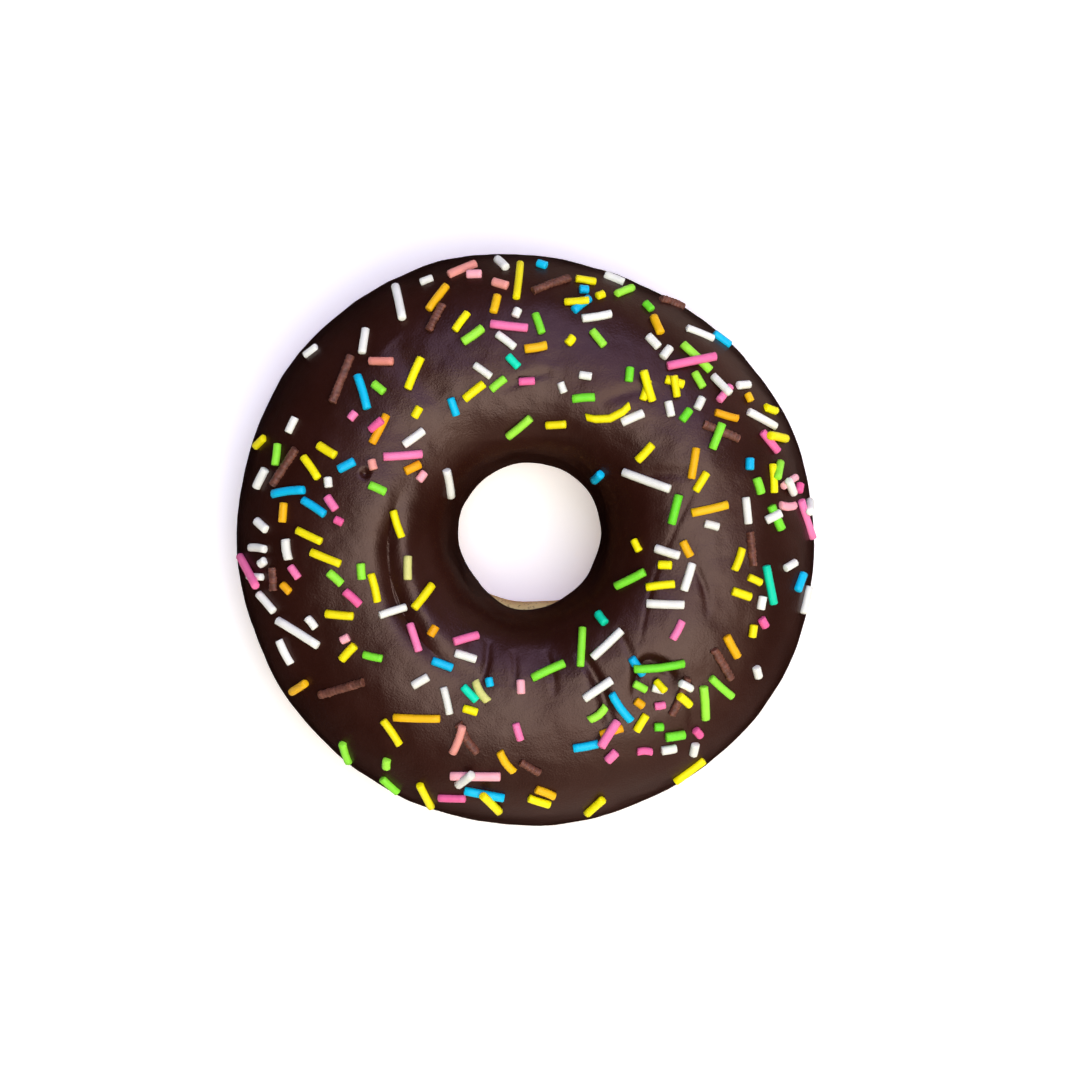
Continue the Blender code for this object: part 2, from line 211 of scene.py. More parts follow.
@dataclass(frozen=True)
class RingShape:
    """The form of the dough ring, in the sizes of its solid."""

    outer_radius: float = 47.0 * MM
    hole_radius: float = 11.75 * MM
    icing_cover: float = 1.45 * MM
    equator_height: float = 13.0 * MM
    crest_rise: float = 16.2 * MM
    base_drop: float = 14.2 * MM
    fullness: float = 0.10
    crest_lean: float = 0.18
    flats: tuple[Flat, ...] = (
        Flat(math.radians(62), math.radians(33), 3.2 * MM),
        Flat(math.radians(1), math.radians(13), 1.0 * MM),
    )
    swell_turn: float = math.radians(265)
    swell_over: float = math.radians(206)
    swell_turn_spread: float = math.radians(36)
    swell_over_spread: float = math.radians(17)
    swell_depth: float = 3.0 * MM
    lumps: tuple[Wave, ...] = (
        Wave(2, 1, 0.30 * MM, 0.6),
        Wave(3, -2, 0.26 * MM, 2.1),
        Wave(5, 1, 0.20 * MM, 4.0),
        Wave(7, 3, 0.13 * MM, 1.3),
        Wave(11, -2, 0.09 * MM, 5.2),
    )
    hole_calm: float = 0.75
    hole_calm_spread: float = math.radians(40)
    rim_calm: float = 0.8
    rim_calm_spread: float = math.radians(42)
    fold_turn: float = math.radians(202)
    fold_over: float = math.radians(101)
    fold_slant: float = -0.14
    fold_half_length: float = math.radians(36)
    fold_half_width: float = math.radians(4.6)
    fold_depth: float = 0.8 * MM
    fold_ridge_share: float = 0.45
    fold_ridge_place: float = 2.2

    def outline(self, turn: np.ndarray) -> np.ndarray:
        """Gives the plan radius of the iced ring's outer side, with its flatter places."""
        return self.outer_radius - sum(f.depth * bell(turn, f.turn, f.spread) for f in self.flats)

    @cached_property
    def middle(self) -> tuple[float, float]:
        """The middle of the outline's bounds, seen from the hole's axis."""
        turn = np.linspace(0, 2 * math.pi, 720, endpoint=False)
        x, y = self.outline(turn) * np.cos(turn), self.outline(turn) * np.sin(turn)
        return (x.max() + x.min()) / 2, (y.max() + y.min()) / 2

    @cached_property
    def base_angle(self) -> float:
        """The section angle below the equator at which the dough meets the plane it lies on."""

        def is_low(tried: float) -> bool:
            """Tells whether the dough is still above the plane here."""
            drop = self.base_drop * math.sin(tried) * (1 + self.fullness * math.cos(tried) ** 2)
            return drop < self.equator_height

        return narrowed(math.pi / 2, is_low)

    def section(self, turn: np.ndarray) -> tuple[np.ndarray, np.ndarray]:
        """Gives the middle radius and the half width of the dough's section."""
        outer, hole = self.outline(turn) - self.icing_cover, self.hole_radius + self.icing_cover
        return (outer + hole) / 2, (outer - hole) / 2

    def across(self, over: np.ndarray) -> np.ndarray:
        """Gives how far across the section an angle lies, from 1 outside to -1 at the hole."""
        leaning = over + self.crest_lean * np.maximum(np.sin(over), 0)
        return np.cos(leaning) * (1 + self.fullness * np.sin(leaning) ** 2)

    def fold(self, turn: np.ndarray, over: np.ndarray) -> np.ndarray:
        """Gives how deep the fold on the inner shoulder goes, with a low ridge beside it."""
        along = angle_apart(turn, self.fold_turn)
        aside = (over - self.fold_over - self.fold_slant * along) / self.fold_half_width
        ends = np.exp(-((along / self.fold_half_length) ** 4))
        ridge = self.fold_ridge_share * np.exp(-((aside - self.fold_ridge_place) ** 2) / 2)
        return self.fold_depth * ends * (np.exp(-(aside**2)) - ridge)

    def skin(self, turn: np.ndarray, over: np.ndarray) -> np.ndarray:
        """Gives points on the dough.

        Args:
            turn: Angles round the hole.
            over: Angles over the section, in the same shape.

        Returns:
            Positions, with X, Y and Z on a last axis.
        """
        middle, half = self.section(turn)
        up = np.sin(over) * (1 + self.fullness * np.cos(over) ** 2)
        radius = middle + half * self.across(over)
        rise = self.crest_rise - self.icing_cover
        height = self.equator_height + np.where(up > 0, rise, self.base_drop) * up
        lump = sum(wave.at(turn, over) for wave in self.lumps)
        lump = lump * (1 - self.hole_calm * bell(over, math.pi, self.hole_calm_spread))
        lump = lump * (1 - self.rim_calm * bell(over, 0, self.rim_calm_spread)) - self.fold(turn, over)
        swell = bell(turn, self.swell_turn, self.swell_turn_spread)
        swell = self.swell_depth * swell * bell(over, self.swell_over, self.swell_over_spread)
        radius = radius + lump * np.cos(over) - swell
        height = np.maximum(height + lump * np.maximum(np.sin(over), 0), 0)
        x, y = self.middle
        return np.stack([radius * np.cos(turn) - x, radius * np.sin(turn) - y, height], -1)

    def outward(self, turn: np.ndarray, over: np.ndarray) -> np.ndarray:
        """Gives the unit normals of the dough's skin, by small steps along both angles."""
        step = SMALL_ANGLE
        round_ring = self.skin(turn + step, over) - self.skin(turn - step, over)
        over_ring = self.skin(turn, over + step) - self.skin(turn, over - step)
        normal = np.cross(round_ring, over_ring)
        return normal / np.linalg.norm(normal, axis=-1, keepdims=True)

    def angle_over(self, turn: float, plan_radius: float, cover: float) -> float:
        """Finds the section angle on the top side where a cover this thick lies at a plan radius."""
        middle, half = self.section(turn)
        wanted = (plan_radius - middle) / (half + cover)
        return narrowed(math.pi, lambda tried: self.across(tried) > wanted)


class Crease(NamedTuple):
    """A wrinkle in the icing, from one plan place to another, each a turn in degrees and a radius in mm.

    Its half width and depth are in mm too, and it bows to its left by a share of its length.
    """

    start: tuple[float, float]
    end: tuple[float, float]
    half_width: float
    depth: float
    bow: float = 0.06

    def depth_at(self, x: np.ndarray, y: np.ndarray) -> np.ndarray:
        """Gives the wrinkle's depth at plan places measured from the hole's axis."""
        polar = [(math.radians(turn), radius * MM) for turn, radius in (self.start, self.end)]
        ends = [np.array([radius * math.cos(turn), radius * math.sin(turn)]) for turn, radius in polar]
        along = ends[1] - ends[0]
        length = float(np.hypot(*along))
        along = along / length
        reach = (x - ends[0][0]) * along[0] + (y - ends[0][1]) * along[1]
        aside = (y - ends[0][1]) * along[0] - (x - ends[0][0]) * along[1]
        share = reach / length
        aside = aside - self.bow * length * np.sin(math.pi * np.clip(share, 0, 1))
        taper = np.clip(4 * share * (1 - share), 0, 1) ** CREASE_TAPER * ((share > 0) & (share < 1))
        return self.depth * MM * taper * np.exp(-((aside / (self.half_width * MM)) ** 2))


@dataclass(frozen=True)
class IcingShape:
    """The icing's thickness, edges and relief over the dough, in the sizes of its solid."""

    ring: RingShape
    thickness: float = 1.15 * MM
    gap: float = 0.3 * MM
    lip_swell: float = 0.35 * MM
    lip_place: float = 0.045
    outer_edge: float = math.radians(-20)
    inner_edge: float = math.radians(189)
    bare_side_lift: float = math.radians(25)
    outer_edge_waves: tuple[Wave, ...] = (
        Wave(3, 0, math.radians(4.0), 1.0),
        Wave(8, 0, math.radians(2.6), 0.3),
        Wave(13, 0, math.radians(1.6), 2.2),
    )
    inner_edge_waves: tuple[Wave, ...] = (
        Wave(2, 0, math.radians(3.0), 0.5),
        Wave(5, 0, math.radians(2.5), 2.4),
    )
    blister_turn: float = math.radians(311)
    blister_over: float = math.radians(78.5)
    blister_radius: float = 3.0 * MM
    blister_depth: float = 0.75 * MM
    blister_steepness: float = 3.0
    creases: tuple[Crease, ...] = (
        Crease((174, 22.1), (230, 24.1), 2.00, 0.36, -0.125),
        Crease((293, 20.2), (293, 33.0), 0.90, 0.60),
        Crease((302.3, 30.3), (315.3, 32.7), 0.75, 0.65, 0.55),
        Crease((15, 26.8), (350, 21.2), 0.36, 0.14, 0.0),
        Crease((350, 21.2), (314, 24.9), 0.36, 0.14, -0.03),
        Crease((313, 20.0), (306, 28.5), 0.60, 0.20),
        Crease((349, 26.5), (335, 31.0), 0.60, 0.24),
        Crease((318, 32.5), (309, 41.0), 0.80, 0.25),
        Crease((249, 18.0), (252, 25.5), 0.60, 0.24),
        Crease((262, 18.5), (264, 24.5), 0.50, 0.18),
        Crease((277, 18.5), (279, 26.0), 0.60, 0.24),
        Crease((62, 23.0), (48, 30.5), 1.00, 0.30),
        Crease((102, 22.5), (82, 25.5), 0.80, 0.26),
        Crease((121, 23.0), (126, 37.0), 2.40, 0.60),
        Crease((27, 18.5), (20, 27.0), 1.10, 0.35),
        Crease((160, 26.7), (160, 28.1), 0.50, 1.00),
    )

    def edges(self, turn: np.ndarray) -> tuple[np.ndarray, np.ndarray]:
        """Gives the outer and the inner section angle where the icing ends."""
        outer = self.outer_edge + sum(wave.at(turn, 0) for wave in self.outer_edge_waves)
        inner = self.inner_edge + sum(wave.at(turn, 0) for wave in self.inner_edge_waves)
        lift = self.bare_side_lift * bell(turn, self.ring.swell_turn, self.ring.swell_turn_spread)
        return outer, inner - lift

    def lip(self, share: np.ndarray) -> np.ndarray:
        """Gives the thickness at a share of the way between the edges, as a rounded lip at each."""
        from_edge = np.minimum(share, 1 - share) / self.lip_place
        rounded = np.sqrt(np.clip(1 - (1 - np.minimum(from_edge, 1)) ** 2, 0, 1))
        return rounded * (self.thickness + self.lip_swell * np.exp(-((from_edge - 1) ** 2)))

    def blister(self, turn: np.ndarray, over: np.ndarray) -> np.ndarray:
        """Gives the burst blister's depth: a shallow pan with a steep rim on one side."""
        middle, half = self.ring.section(turn)
        x, y = angle_apart(turn, self.blister_turn) * middle, (over - self.blister_over) * half
        distance = np.hypot(x, y)
        steep = np.maximum(self.blister_steepness * (1 + (x + y) / (distance + 1e-6)), 0)
        return self.blister_depth * np.exp(-((distance / self.blister_radius) ** (2 + steep)))

    def top(self, turn: np.ndarray, over: np.ndarray) -> np.ndarray:
        """Gives points on the icing's upper side, away from its lips and without its creases."""
        cover = self.gap + self.thickness - self.blister(turn, over)
        return self.ring.skin(turn, over) + self.ring.outward(turn, over) * cover[..., None]

    def wrinkles(self, points: np.ndarray) -> np.ndarray:
        """Gives how deep the creases cut at these points of the upper side."""
        x, y = points[..., 0] + self.ring.middle[0], points[..., 1] + self.ring.middle[1]
        return sum(crease.depth_at(x, y) for crease in self.creases)


class Rod(NamedTuple):
    """A sprinkle or stick: its middle, its direction, the way it faces up, and its size."""

    middle: np.ndarray
    along: np.ndarray
    up: np.ndarray
    length: float
    radius: float


class Strewn(NamedTuple):
    """How many rods fall where: round this turn and plan radius, within this spread."""

    turn: float
    radius: float
    spread: float
    count: int


class RodSize(NamedTuple):
    """A kind of rod: its radius, its typical length and the spread of its lengths."""

    radius: float
    length: float
    spread: float


def nearest_places(rod: Rod, other: Rod) -> tuple[float, float]:
    """Finds the places along two rods' axes, from their middles, that come nearest to each other."""
    between = rod.middle - other.middle
    lean = float(rod.along @ other.along)
    spread = max(1 - lean * lean, 1e-9)
    here, there = float(rod.along @ between), float(other.along @ between)
    place = np.clip((lean * there - here) / spread, -rod.length / 2, rod.length / 2)
    other_place = np.clip(there + lean * place, -other.length / 2, other.length / 2)
    place = np.clip(lean * other_place - here, -rod.length / 2, rod.length / 2)
    return float(place), float(other_place)


def gap_between(rod: Rod, other: Rod) -> float:
    """Gives the distance between two rods' axes."""
    place, other_place = nearest_places(rod, other)
    return np.linalg.norm(rod.middle + place * rod.along - other.middle - other_place * other.along)


@dataclass
class Strewing:
    """Drops the sprinkles and sticks on the icing one by one, as the solids' own rule does."""

    icing: IcingShape
    sprinkle: RodSize = RodSize(0.69 * MM, 3.4 * MM, 0.42)
    stick: RodSize = RodSize(0.66 * MM, 5.8 * MM, 0.30)
    shortest: float = 1.5 * MM
    longest: float = 8.2 * MM
    sink: float = 0.36 * MM
    most_bulge: float = 0.75 * MM
    crossing_overlap: float = 0.42 * MM
    crossing_share: float = 0.6
    least_crossing_sine: float = 0.5
    crossing_bites: tuple[float, float] = (0.8, 1.5)
    touching: float = 1.04
    crossing_slimness: float = 3.0
    edge_margin: float = math.radians(5)
    hole_sparse: tuple[float, float] = (13.0 * MM, 7.0 * MM)
    rim_sparse: tuple[float, float] = (51.0 * MM, 7.0 * MM)
    tries: int = 120
    seed: int = 7
    sticks: int = 13
    stick_unevenness: float = 0.4
    stick_band: tuple[float, float] = (34.0 * MM, 43.0 * MM)
    evenly_spread: int = 74
    clumps: tuple[Strewn, ...] = (
        Strewn(math.radians(97), 35.0 * MM, 5.5 * MM, 14),
        Strewn(math.radians(74), 38.0 * MM, 3.6 * MM, 8),
        Strewn(math.radians(50), 35.5 * MM, 4.6 * MM, 8),
        Strewn(math.radians(34), 35.5 * MM, 4.2 * MM, 10),
        Strewn(math.radians(45), 27.0 * MM, 4.5 * MM, 6),
        Strewn(math.radians(9), 39.0 * MM, 4.8 * MM, 14),
        Strewn(math.radians(-14), 39.0 * MM, 4.2 * MM, 7),
        Strewn(math.radians(-54), 33.0 * MM, 5.2 * MM, 24),
        Strewn(math.radians(-17), 20.5 * MM, 3.4 * MM, 8),
        Strewn(math.radians(172), 35.5 * MM, 5.5 * MM, 14),
        Strewn(math.radians(190), 40.5 * MM, 3.5 * MM, 5),
        Strewn(math.radians(208), 34.5 * MM, 4.0 * MM, 7),
        Strewn(math.radians(259), 39.0 * MM, 3.6 * MM, 6),
        Strewn(math.radians(245), 28.5 * MM, 4.5 * MM, 10),
        Strewn(math.radians(150), 25.5 * MM, 4.8 * MM, 10),
    )
    placed: list[Rod] = field(default_factory=list)

    def seated(self, turn: float, over: float, heading: float, size: tuple[float, float]) -> Rod | None:
        """Presses a rod a little into the icing.

        Args:
            turn: Where its middle lies round the ring.
            over: Where its middle lies over the section.
            heading: Its direction, 0 round the ring.
            size: Its length and radius.

        Returns:
            The rod, or None past the icing's edge and where the skin curves too much.
        """
        length, radius = size
        step = SMALL_ANGLE
        turns, overs = np.array([turn, turn + step, turn]), np.array([over, over, over + step])
        here, round_ring, over_ring = self.icing.top(turns, overs)
        round_step = np.linalg.norm(round_ring - here) / step
        over_step = np.linalg.norm(over_ring - here) / step
        d_turn = length / 2 * math.cos(heading) / round_step
        d_over = length / 2 * math.sin(heading) / over_step
        ends_turn = np.array([turn - d_turn, turn + d_turn])
        ends_over = np.array([over - d_over, over + d_over])
        outer, inner = self.icing.edges(ends_turn)
        if (ends_over < outer + self.edge_margin).any() or (ends_over > inner - self.edge_margin).any():
            return None
        first, last = self.icing.top(ends_turn, ends_over)
        up = self.icing.ring.outward(turns[:1], overs[:1])[0]
        chord_middle = (first + last) / 2
        bulge = max(float((here - chord_middle) @ up), 0)
        if bulge > self.most_bulge:
            return None
        along = (last - first) / np.linalg.norm(last - first)
        up = up - along * (up @ along)
        up = up / np.linalg.norm(up)
        return Rod(chord_middle + up * (bulge / 2 + radius - self.sink), along, up, length, radius)

    def laid_across(self, rod: Rod, other: Rod) -> Rod:
        """Tips a rod up to lie on another one, while its far end still meets the icing."""
        place, other_place = nearest_places(rod, other)
        above = (rod.middle + place * rod.along - other.middle - other_place * other.along) @ rod.up
        lift = rod.radius + other.radius - self.crossing_overlap - above
        share = abs(place) / (rod.length / 2)
        rise = 2 * lift / (1 + share)
        side = 1 if place >= 0 else -1
        along = rod.along * rod.length + rod.up * rise * side
        along = along / np.linalg.norm(along)
        up = rod.up - along * (rod.up @ along)
        return Rod(rod.middle + rod.up * rise / 2, along, up / np.linalg.norm(up), rod.length, rod.radius)

    def rests_on(self, rod: Rod, other: Rod) -> bool:
        """Tells whether a tipped rod crosses the other at a wide angle, away from both rods' tips."""
        place, other_place = nearest_places(rod, other)
        if abs(place) > rod.length / 2 - rod.radius or abs(other_place) > other.length / 2 - rod.radius:
            return False
        bite = rod.radius + other.radius - gap_between(rod, other)
        sine = np.linalg.norm(np.cross(rod.along, other.along))
        least, most = self.crossing_bites
        return sine > self.least_crossing_sine and least < bite / self.crossing_overlap < most

    def touched(self, rod: Rod) -> list[Rod]:
        """Gives the placed rods that this one would run into."""
        near = [
            p
            for p in self.placed
            if np.linalg.norm(p.middle - rod.middle) < (p.length + rod.length) / 2 + rod.radius
        ]
        return [p for p in near if gap_between(rod, p) < self.touching * (p.radius + rod.radius)]

    def drawn_place(self, chance: random.Random, strewn: Strewn | None) -> tuple[float, float]:
        """Draws a turn and a plan radius in a clump or anywhere, but seldom on the steep sides."""
        while True:
            if strewn is None:
                turn = chance.uniform(-math.pi, math.pi)
                radius = self.icing.ring.outer_radius * math.sqrt(chance.random())
            else:
                spread = strewn.spread / math.sqrt(2)
                x = strewn.radius * math.cos(strewn.turn) + chance.gauss(0, spread)
                y = strewn.radius * math.sin(strewn.turn) + chance.gauss(0, spread)
                turn, radius = math.atan2(y, x), math.hypot(x, y)
            stays_by_hole = (radius - self.hole_sparse[0]) / self.hole_sparse[1]
            stays_by_rim = (self.rim_sparse[0] - radius) / self.rim_sparse[1]
            if chance.random() < min(stays_by_hole, stays_by_rim):
                return turn, radius

    def drop(self, chance: random.Random, strewn: Strewn | None, kind: RodSize) -> None:
        """Tries places until a rod lies free, or now and then across one other rod, and adds it."""
        length = kind.length * math.exp(chance.gauss(0, kind.spread))
        length = min(max(length, self.shortest), self.longest)
        crossing = chance.random() < self.crossing_share
        ring, radius = self.icing.ring, kind.radius
        for _ in range(self.tries):
            turn, plan_radius = self.drawn_place(chance, strewn)
            heading = chance.uniform(0, math.pi)
            if plan_radius > ring.outline(turn) - radius:
                continue
            over = ring.angle_over(turn, plan_radius, ring.icing_cover)
            rod = self.seated(turn, over, heading, (length, radius))
            if rod is None:
                continue
            under = self.touched(rod)
            if len(under) == 1 and crossing and length > self.crossing_slimness * radius:
                lifted = self.laid_across(rod, under[0])
                if self.rests_on(lifted, under[0]) and all(p is under[0] for p in self.touched(lifted)):
                    self.placed.append(lifted)
                    return
            elif not under:
                self.placed.append(rod)
                return

    def strew(self) -> list[Rod]:
        """Drops the sticks, then the clumps, then the evenly spread sprinkles, and returns them all."""
        chance = random.Random(self.seed)
        self.placed.clear()
        for number in range(self.sticks):
            aside = chance.uniform(-self.stick_unevenness, self.stick_unevenness)
            turn = 2 * math.pi * (number + aside) / self.sticks
            spot = Strewn(turn, chance.uniform(*self.stick_band), 1 * MM, 1)
            self.drop(chance, spot, self.stick)
        for clump in self.clumps:
            for _ in range(clump.count):
                self.drop(chance, clump, self.sprinkle)
        for _ in range(self.evenly_spread):
            self.drop(chance, None, self.sprinkle)
        return list(self.placed)


@dataclass(frozen=True)
class DarkChocolate:
    """Icing of dark chocolate and fat, poured warm and set: satin, with a faint skin and soft mottling.

    A bump is its strength and its height.
    """

    deep: str = "200B06"
    light: str = "31130C"
    sheen: str = "FFDDD0"
    mottle: float = 9.0 * MM
    stipple: float = 0.3 * MM
    leather: float = 1.2 * MM
    roughness: tuple[float, float] = (0.31, 0.40)
    stipple_bump: tuple[float, float] = (0.5, 0.07 * MM)
    leather_bump: tuple[float, float] = (0.16, 0.2 * MM)

    def material(self) -> bpy.types.Material:
        """Builds the material. The stipple is coarser than real fat crystals, so that it shows."""
        material, tree, shader, place = new_material("dark chocolate icing")
        mottle, stipple, leather = (
            add_node(tree, "ShaderNodeTexNoise", {}, {"Vector": place, "Scale": 1 / size, "Detail": detail})
            for size, detail in ((self.mottle, 4.0), (self.stipple, 2.0), (self.leather, 3.0))
        )
        ends = {MIX_FROM: hex_colour(self.deep), MIX_TO: hex_colour(self.light)}
        tones = add_node(tree, "ShaderNodeMix", {"data_type": "RGBA"}, {0: mottle} | ends)
        least, most = self.roughness
        spread = {"From Min": 0.3, "From Max": 0.7, "To Min": least, "To Max": most}
        gloss = add_node(tree, "ShaderNodeMapRange", {}, {"Value": mottle} | spread)
        normal: dict[str, Any] = {}
        for height, (strength, distance) in ((stipple, self.stipple_bump), (leather, self.leather_bump)):
            bump = {"Height": height, "Strength": strength, "Distance": distance}
            normal = {"Normal": add_node(tree, "ShaderNodeBump", {}, bump | normal)}
        look = {"IOR": 1.46, "Specular IOR Level": 0.45, "Specular Tint": hex_colour(self.sheen)}
        wire(tree, shader, {"Base Color": tones.outputs[MIX_RESULT], "Roughness": gloss} | normal | look)
        return material


@dataclass(frozen=True)
class FriedDough:
    """Yeast dough fried on both sides: brown crust, a paler band round the waist, fine pores with painted
    shade in their hollows.

    Its tones go by height, and a bump is its strength and its height.
    """

    tones: tuple[tuple[float, str], ...] = (
        (0.0, "6E3A17"),
        (3.0 * MM, "8F5324"),
        (5.5 * MM, "A8682F"),
        (9.0 * MM, "CB9650"),
        (13.0 * MM, "FFE998"),
    )
    # The tone painted into the pores' hollows, as their shade.
    crumb: str = "6E3F1A"
    unevenness: float = 7.0 * MM
    pore: float = 0.7 * MM
    pore_wall: tuple[float, float] = (0.05, 0.32)
    patch: float = 7.0 * MM
    ripple: float = 2.0 * MM
    ripple_bump: tuple[float, float] = (0.6, 0.5 * MM)
    pore_bump: tuple[float, float] = (0.5, 0.2 * MM)

    def material(self) -> bpy.types.Material:
        """Builds the material, from the crust below to the band at the waist."""
        material, tree, shader, place = new_material("fried yeast dough")
        patch, ripple = (
            add_node(tree, "ShaderNodeTexNoise", {}, {"Vector": place, "Scale": 1 / size, "Detail": detail})
            for size, detail in ((self.patch, 5.0), (self.ripple, 6.0))
        )
        axes = add_node(tree, "ShaderNodeSeparateXYZ", {}, {0: place})
        raised = {0: patch, 1: self.unevenness, 2: axes.outputs["Z"]}
        uneven = add_node(tree, "ShaderNodeMath", {"operation": "MULTIPLY_ADD"}, raised)
        top = self.tones[-1][0]
        span = {"From Min": self.unevenness / 4, "From Max": self.unevenness / 2 + top}
        height = add_node(tree, "ShaderNodeMapRange", {}, {"Value": uneven} | span)
        ramp = add_node(tree, "ShaderNodeValToRGB", {}, {0: height})
        stops = ramp.color_ramp.elements
        stops[0].color, stops[1].color = hex_colour(self.tones[0][1]), hex_colour(self.tones[-1][1])
        for level, tone in self.tones[1:-1]:
            stops.new(level / top).color = hex_colour(tone)
        pore = add_node(tree, "ShaderNodeTexVoronoi", {}, {"Vector": place, "Scale": 1 / self.pore})
        wall = {"From Min": self.pore_wall[0], "From Max": self.pore_wall[1]}
        pore_depth_and_shade = add_node(tree, "ShaderNodeMapRange", {}, {"Value": pore} | wall)
        # Painted shade: the pores' hollows, which the bump sinks, take the crumb tone.
        ends = {MIX_FROM: hex_colour(self.crumb), MIX_TO: ramp}
        tones = add_node(tree, "ShaderNodeMix", {"data_type": "RGBA"}, {0: pore_depth_and_shade} | ends)
        normal: dict[str, Any] = {}
        for relief, (strength, distance) in ((ripple, self.ripple_bump), (pore_depth_and_shade, self.pore_bump)):
            bump = {"Height": relief, "Strength": strength, "Distance": distance}
            normal = {"Normal": add_node(tree, "ShaderNodeBump", {}, bump | normal)}
        look = {"Base Color": tones.outputs[MIX_RESULT], "Roughness": 0.62, "IOR": 1.45}
        wire(tree, shader, look | normal)
        return material


@dataclass(frozen=True)
class SugarShell:
    """Pressed sugar and starch in one food colour: even tone, faintly chalky, with a slight gloss."""

    name: str
    light: str
    deep: str
    share: int
    chalk: float = 0.8 * MM
    chalkiness: float = 0.4

    def material(self) -> bpy.types.Material:
        """Builds the material. Each sprinkle takes its own tone between the two from its tint."""
        material, tree, shader, place = new_material(self.name)
        tint = add_node(tree, "ShaderNodeAttribute", {"attribute_name": "tint"}, {}).outputs["Fac"]
        grain = {"Vector": place, "Scale": 1 / self.chalk, "Detail": 3.0}
        chalk = add_node(tree, "ShaderNodeTexNoise", {}, grain)
        adding = {"operation": "MULTIPLY_ADD", "use_clamp": True}
        tone = add_node(tree, "ShaderNodeMath", adding, {0: chalk, 1: self.chalkiness, 2: tint})
        ends = {MIX_FROM: hex_colour(self.deep), MIX_TO: hex_colour(self.light)}
        tones = add_node(tree, "ShaderNodeMix", {"data_type": "RGBA"}, {0: tone} | ends)
        bump = {"Height": chalk, "Strength": 0.25, "Distance": 0.1 * MM}
        normal = add_node(tree, "ShaderNodeBump", {}, bump)
        look = {"Roughness": 0.5, "IOR": 1.5, "Specular IOR Level": 0.25}
        wire(tree, shader, {"Base Color": tones.outputs[MIX_RESULT], "Normal": normal} | look)
        return material


class Sugar(Enum):
    """The colours of the sprinkles, with the weight that each has in the draw."""

    WHITE = SugarShell("sprinkle_white", "F0F3E7", "DFE2D4", 61)
    YELLOW = SugarShell("sprinkle_yellow", "F8F000", "ECDE00", 54)
    ORANGE = SugarShell("sprinkle_orange", "F1BF0C", "E79A05", 24)
    GREEN = SugarShell("sprinkle_green", "A2F042", "50D61E", 40)
    PINK = SugarShell("sprinkle_pink", "F581B0", "E75390", 31)
    BLUE = SugarShell("sprinkle_blue", "00C5EA", "00ABDB", 19)
    ROSE = SugarShell("sprinkle_rose", "FBB6BC", "F49CA8", 7)
    SALMON = SugarShell("sprinkle_salmon", "EAA092", "D88472", 6)
    TEAL = SugarShell("sprinkle_teal", "06E4B6", "05CE9F", 3)
    KHAKI = SugarShell("sprinkle_khaki", "DADB83", "C3C66A", 4)


@dataclass(frozen=True)
class ChocolateStick:
    """Extruded chocolate vermicelli: matt, ringed across by the die, and a little bloomed."""

    name: str = "chocolate_stick"
    bloom: str = "804C39"
    # The deep tone is painted shade for the grooves, and the bloom tone is the greyer crests.
    deep: str = "4E2B1E"
    crumb: float = 0.9 * MM

    def material(self) -> bpy.types.Material:
        """Builds the material, with painted shade darker in the grooves and a greyer bloom on the crests."""
        material, tree, shader, place = new_material("chocolate vermicelli")
        grain = {"Vector": place, "Scale": 1 / self.crumb, "Detail": 5.0}
        crumbs = add_node(tree, "ShaderNodeTexNoise", {}, grain)
        # Painted shade: the low crumbs, which the bump sinks into grooves, take the deep tone; the high ones
        # take the bloom.
        groove_shade_and_bloom = add_node(tree, "ShaderNodeMapRange", {}, {"Value": crumbs, "From Min": 0.3, "From Max": 0.75})
        ends = {MIX_FROM: hex_colour(self.deep), MIX_TO: hex_colour(self.bloom)}
        tones = add_node(tree, "ShaderNodeMix", {"data_type": "RGBA"}, {0: groove_shade_and_bloom} | ends)
        bump = {"Height": crumbs, "Strength": 0.4, "Distance": 0.2 * MM}
        normal = add_node(tree, "ShaderNodeBump", {}, bump)
        look = {"Base Color": tones.outputs[MIX_RESULT], "Normal": normal, "Roughness": 0.6}
        wire(tree, shader, look)
        return material


def relief_tree() -> bpy.types.NodeTree:
    """Builds the tree that raises a skin's fine relief along its normals where the skin may give."""
    sizes = ("Lump Size", "Lump Height", "Grain Size", "Grain Height")
    tree, given = new_shape_tree("skin relief", "Skin", (), sizes)
    normal = add_node(tree, "GeometryNodeInputNormal", {}, {})
    give = add_node(tree, "GeometryNodeInputNamedAttribute", {"data_type": "FLOAT"}, {"Name": "give"})
    height: Any = 0.0
    for kind in ("Lump", "Grain"):
        scale = add_node(tree, "ShaderNodeMath", {"operation": "DIVIDE"}, {0: 1.0, 1: given[f"{kind} Size"]})
        noise = add_node(tree, "ShaderNodeTexNoise", {}, {"Scale": scale, "Detail": 2.0})
        centred = add_node(tree, "ShaderNodeMath", {"operation": "SUBTRACT"}, {0: noise, 1: 0.5})
        raised = {0: centred, 1: given[f"{kind} Height"], 2: height}
        height = add_node(tree, "ShaderNodeMath", {"operation": "MULTIPLY_ADD"}, raised)
    loose = add_node(tree, "ShaderNodeMath", {"operation": "MULTIPLY"}, {0: height, 1: give})
    push = add_node(tree, "ShaderNodeVectorMath", {"operation": "SCALE"}, {0: normal, 3: loose})
    moved = add_node(tree, "GeometryNodeSetPosition", {}, {"Geometry": given["Skin"], "Offset": push})
    return end_shape_tree(tree, moved, given["Finish"])


